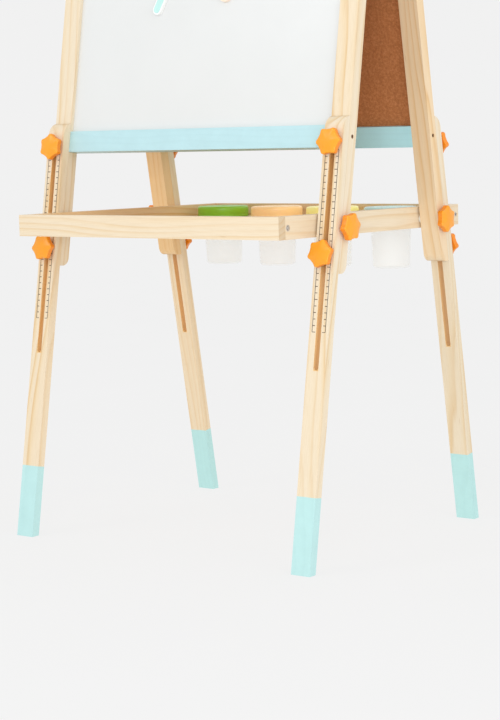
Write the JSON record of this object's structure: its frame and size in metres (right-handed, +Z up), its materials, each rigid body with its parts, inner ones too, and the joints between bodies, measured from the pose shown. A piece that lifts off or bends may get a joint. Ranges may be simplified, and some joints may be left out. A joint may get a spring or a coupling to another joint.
{
  "type": "kids easel",
  "caption": "Folding two-sided children's easel: hinged pine frames with a whiteboard and chalkboard, height-adjustable slotted legs with star knobs, and a tray of lidded paint cups.",
  "frame": {"origin": "on the floor, in the middle of the four feet and under the top hinge", "axes": "+Z up, +X to the right when facing the whiteboard, whiteboard side towards -Y, chalkboard and paint cups towards +Y"},
  "size_m": [0.6446, 0.525, 1.3012],
  "materials": {
    "pine": "satin lacquer",
    "mint_paint": "satin painted",
    "white_board": "white enamel, gloss",
    "chalk_board": "matt",
    "ply": "satin",
    "steel": "zinc plated",
    "orange_plastic": "satin",
    "white_plastic": "satin",
    "cup_plastic": "frosted",
    "lid_green": "satin",
    "lid_orange": "satin",
    "lid_lime": "satin",
    "lid_mint": "satin",
    "magnet_mint": "satin",
    "magnet_yellow": "satin"
  },
  "bodies": {
    "front_frame": {"front_stile_left": "pine", "front_stile_right": "pine", "front_bottom_rail": "mint_paint", "front_top_rail": "mint_paint", "whiteboard": "white_board", "front_leg_bolts": "steel", "front_leg_washers": "steel", "front_rail_screws": "steel", "tray_front_spacers": "white_plastic", "hinge_leaves_front": "steel", "hinge_pins": "steel", "hinge_screws_front": "steel"},
    "rear_frame": {"rear_stile_left": "pine", "rear_stile_right": "pine", "rear_bottom_rail": "mint_paint", "rear_top_rail": "mint_paint", "chalkboard": "chalk_board", "rear_leg_bolts": "steel", "rear_leg_washers": "steel", "rear_rail_screws": "steel", "tray_rear_spacers": "white_plastic", "tray_rear_bolts": "steel", "hinge_leaves_rear": "steel", "hinge_screws_rear": "steel"},
    "tray": {"tray_front_rail": "pine", "tray_rear_rail": "pine", "tray_left_rail": "pine", "tray_right_rail": "pine", "tray_panel": "ply", "tray_cams": "steel", "tray_cam_pins": "steel", "tray_rear_screws": "steel", "tray_front_bolts": "steel"},
    "front_leg_left_body": {"front_leg_left": "pine"},
    "front_leg_right_body": {"front_leg_right": "pine"},
    "rear_leg_left_body": {"rear_leg_left": "pine"},
    "rear_leg_right_body": {"rear_leg_right": "pine"},
    "knob_front_left_upper_body": {"knob_front_left_upper": "orange_plastic"},
    "knob_front_left_lower_body": {"knob_front_left_lower": "orange_plastic"},
    "tray_knob_front_left_body": {"tray_knob_front_left": "orange_plastic"},
    "knob_front_right_upper_body": {"knob_front_right_upper": "orange_plastic"},
    "knob_front_right_lower_body": {"knob_front_right_lower": "orange_plastic"},
    "tray_knob_front_right_body": {"tray_knob_front_right": "orange_plastic"},
    "knob_rear_left_upper_body": {"knob_rear_left_upper": "orange_plastic"},
    "knob_rear_left_lower_body": {"knob_rear_left_lower": "orange_plastic"},
    "tray_knob_rear_left_body": {"tray_knob_rear_left": "orange_plastic"},
    "knob_rear_right_upper_body": {"knob_rear_right_upper": "orange_plastic"},
    "knob_rear_right_lower_body": {"knob_rear_right_lower": "orange_plastic"},
    "tray_knob_rear_right_body": {"tray_knob_rear_right": "orange_plastic"},
    "cup_1_body": {"paint_cup_1": "cup_plastic"},
    "lid_1_body": {"cup_lid_1": "lid_green"},
    "cup_2_body": {"paint_cup_2": "cup_plastic"},
    "lid_2_body": {"cup_lid_2": "lid_orange"},
    "cup_3_body": {"paint_cup_3": "cup_plastic"},
    "lid_3_body": {"cup_lid_3": "lid_lime"},
    "cup_4_body": {"paint_cup_4": "cup_plastic"},
    "lid_4_body": {"cup_lid_4": "lid_mint"},
    "magnet_bar_body": {"magnet_bar": "magnet_mint"},
    "magnet_pill_body": {"magnet_pill": "magnet_yellow"}
  },
  "joints": [
    {"name": "rear_fold", "type": "hinge", "parent": "front_frame", "child": "rear_frame", "pos_m": [0, 0, 1.28744], "axis": [-1, 0, 0], "range_deg": [0, 17.2]},
    {"name": "front_leg_left_slide", "type": "slide", "parent": "front_frame", "child": "front_leg_left_body", "axis": [0, 0.165, 0.9863], "range_m": [0, 0.172]},
    {"name": "front_leg_right_slide", "type": "slide", "parent": "front_frame", "child": "front_leg_right_body", "axis": [0, 0.165, 0.9863], "range_m": [0, 0.172]},
    {"name": "rear_leg_left_slide", "type": "slide", "parent": "rear_frame", "child": "rear_leg_left_body", "axis": [0, -0.165, 0.9863], "range_m": [0, 0.166]},
    {"name": "rear_leg_right_slide", "type": "slide", "parent": "rear_frame", "child": "rear_leg_right_body", "axis": [0, -0.165, 0.9863], "range_m": [0, 0.166]},
    {"name": "tray_tilt", "type": "hinge", "parent": "front_frame", "child": "tray", "pos_m": [0, -0.14173, 0.52534], "axis": [-1, 0, 0], "range_deg": [0, 25]},
    {"name": "knob_front_left_upper_turn", "type": "hinge", "parent": "front_frame", "child": "knob_front_left_upper_body", "pos_m": [-0.2875, -0.15438, 0.65572], "axis": [0, -0.9863, 0.165], "continuous": true},
    {"name": "knob_front_left_lower_turn", "type": "hinge", "parent": "front_frame", "child": "knob_front_left_lower_body", "pos_m": [-0.2875, -0.18277, 0.48608], "axis": [0, -0.9863, 0.165], "continuous": true},
    {"name": "tray_knob_front_left_turn", "type": "hinge", "parent": "tray", "child": "tray_knob_front_left_body", "pos_m": [-0.314, -0.14173, 0.52534], "axis": [-1, 0, 0], "continuous": true},
    {"name": "knob_front_right_upper_turn", "type": "hinge", "parent": "front_frame", "child": "knob_front_right_upper_body", "pos_m": [0.2875, -0.15438, 0.65572], "axis": [0, -0.9863, 0.165], "continuous": true},
    {"name": "knob_front_right_lower_turn", "type": "hinge", "parent": "front_frame", "child": "knob_front_right_lower_body", "pos_m": [0.2875, -0.18277, 0.48608], "axis": [0, -0.9863, 0.165], "continuous": true},
    {"name": "tray_knob_front_right_turn", "type": "hinge", "parent": "tray", "child": "tray_knob_front_right_body", "pos_m": [0.314, -0.14173, 0.52534], "axis": [1, 0, 0], "continuous": true},
    {"name": "knob_rear_left_upper_turn", "type": "hinge", "parent": "rear_frame", "child": "knob_rear_left_upper_body", "pos_m": [-0.2875, 0.15529, 0.6503], "axis": [0, 0.9863, 0.165], "continuous": true},
    {"name": "knob_rear_left_lower_turn", "type": "hinge", "parent": "rear_frame", "child": "knob_rear_left_lower_body", "pos_m": [-0.2875, 0.18368, 0.48066], "axis": [0, 0.9863, 0.165], "continuous": true},
    {"name": "tray_knob_rear_left_turn", "type": "hinge", "parent": "rear_frame", "child": "tray_knob_rear_left_body", "pos_m": [-0.314, 0.14173, 0.52534], "axis": [-1, 0, 0], "continuous": true},
    {"name": "knob_rear_right_upper_turn", "type": "hinge", "parent": "rear_frame", "child": "knob_rear_right_upper_body", "pos_m": [0.2875, 0.15529, 0.6503], "axis": [0, 0.9863, 0.165], "continuous": true},
    {"name": "knob_rear_right_lower_turn", "type": "hinge", "parent": "rear_frame", "child": "knob_rear_right_lower_body", "pos_m": [0.2875, 0.18368, 0.48066], "axis": [0, 0.9863, 0.165], "continuous": true},
    {"name": "tray_knob_rear_right_turn", "type": "hinge", "parent": "rear_frame", "child": "tray_knob_rear_right_body", "pos_m": [0.314, 0.14173, 0.52534], "axis": [1, 0, 0], "continuous": true},
    {"name": "cup_1_lift", "type": "slide", "parent": "tray", "child": "cup_1_body", "axis": [0, 0, 1], "range_m": [0, 0.09]},
    {"name": "lid_1_lift", "type": "slide", "parent": "cup_1_body", "child": "lid_1_body", "axis": [0, 0, 1], "range_m": [0, 0.03]},
    {"name": "cup_2_lift", "type": "slide", "parent": "tray", "child": "cup_2_body", "axis": [0, 0, 1], "range_m": [0, 0.09]},
    {"name": "lid_2_lift", "type": "slide", "parent": "cup_2_body", "child": "lid_2_body", "axis": [0, 0, 1], "range_m": [0, 0.03]},
    {"name": "cup_3_lift", "type": "slide", "parent": "tray", "child": "cup_3_body", "axis": [0, 0, 1], "range_m": [0, 0.09]},
    {"name": "lid_3_lift", "type": "slide", "parent": "cup_3_body", "child": "lid_3_body", "axis": [0, 0, 1], "range_m": [0, 0.03]},
    {"name": "cup_4_lift", "type": "slide", "parent": "tray", "child": "cup_4_body", "axis": [0, 0, 1], "range_m": [0, 0.09]},
    {"name": "lid_4_lift", "type": "slide", "parent": "cup_4_body", "child": "lid_4_body", "axis": [0, 0, 1], "range_m": [0, 0.03]},
    {"name": "magnet_bar_pull", "type": "slide", "parent": "front_frame", "child": "magnet_bar_body", "axis": [0, -0.9863, 0.165], "range_m": [0, 0.03]},
    {"name": "magnet_pill_pull", "type": "slide", "parent": "front_frame", "child": "magnet_pill_body", "axis": [0, -0.9863, 0.165], "range_m": [0, 0.03]}
  ]
}
